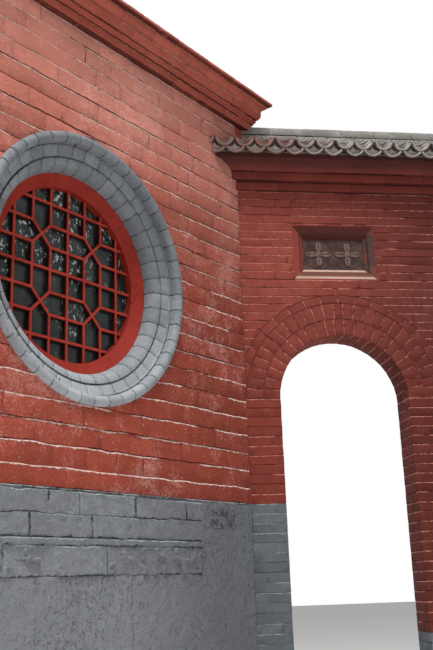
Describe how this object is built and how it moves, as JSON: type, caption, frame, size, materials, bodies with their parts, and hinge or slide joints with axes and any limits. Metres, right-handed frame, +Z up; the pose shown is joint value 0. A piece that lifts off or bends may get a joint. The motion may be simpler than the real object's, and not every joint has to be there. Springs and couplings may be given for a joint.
{
  "type": "moon gate wall",
  "caption": "Brick garden wall with an arched gateway under a tiled coping, joined at an angle to a wall bay with a round moon window and a timber lattice.",
  "frame": {"origin": "middle of the bounding box at ground level", "axes": "+X along the gate wall away from the hall wall, +Y through the gate wall from its front to its back, +Z up"},
  "size_m": [4.4758, 3.0136, 5.0552],
  "materials": {
    "hall_brick": "large bricks under worn red limewash",
    "gate_brick": "thin bricks under red limewash with pale joints",
    "dado_paint": "brick and render under matt grey paint",
    "surround_brick": "rubbed grey moulded brick",
    "roof_tile": "unglazed grey tile, weathered",
    "lime_mortar": "rough lime mortar",
    "red_timber": "timber under dull red paint",
    "window_glass": "dark glass in front of an unlit room",
    "plaque_stone": "dark brown carved brick"
  },
  "bodies": {
    "root": {"gate_plinth_left": "dado_paint", "gate_plinth_right": "dado_paint", "gate_pier_left": "gate_brick", "gate_pier_right": "gate_brick", "arch_ring_inner": "gate_brick", "arch_ring_outer": "gate_brick", "arch_hood": "gate_brick", "spandrel_left": "gate_brick", "spandrel_right": "gate_brick", "gate_wall_head": "gate_brick", "plaque_frame": "gate_brick", "plaque_panel": "plaque_stone", "corbel_low": "gate_brick", "corbel_high": "gate_brick", "eave_cove": "gate_brick", "coping_bed": "lime_mortar", "drip_tiles_front": "roof_tile", "pan_tiles_front": "roof_tile", "drip_tiles_back": "roof_tile", "pan_tiles_back": "roof_tile", "ridge_course": "gate_brick", "ridge_cap": "roof_tile", "hall_dado": "dado_paint", "hall_wall_corner": "hall_brick", "hall_wall_left": "hall_brick", "hall_wall_below": "hall_brick", "hall_wall_above": "hall_brick", "surround_outer_roll": "surround_brick", "surround_band": "surround_brick", "surround_inner_roll": "surround_brick", "window_ring": "red_timber", "lattice": "red_timber", "glass": "window_glass", "glazing_bead": "red_timber", "cornice_flat": "hall_brick", "cornice_fillets": "hall_brick", "cornice_ovolo": "hall_brick", "cornice_cavetto": "hall_brick", "cornice_slab": "hall_brick"}
  },
  "joints": []
}
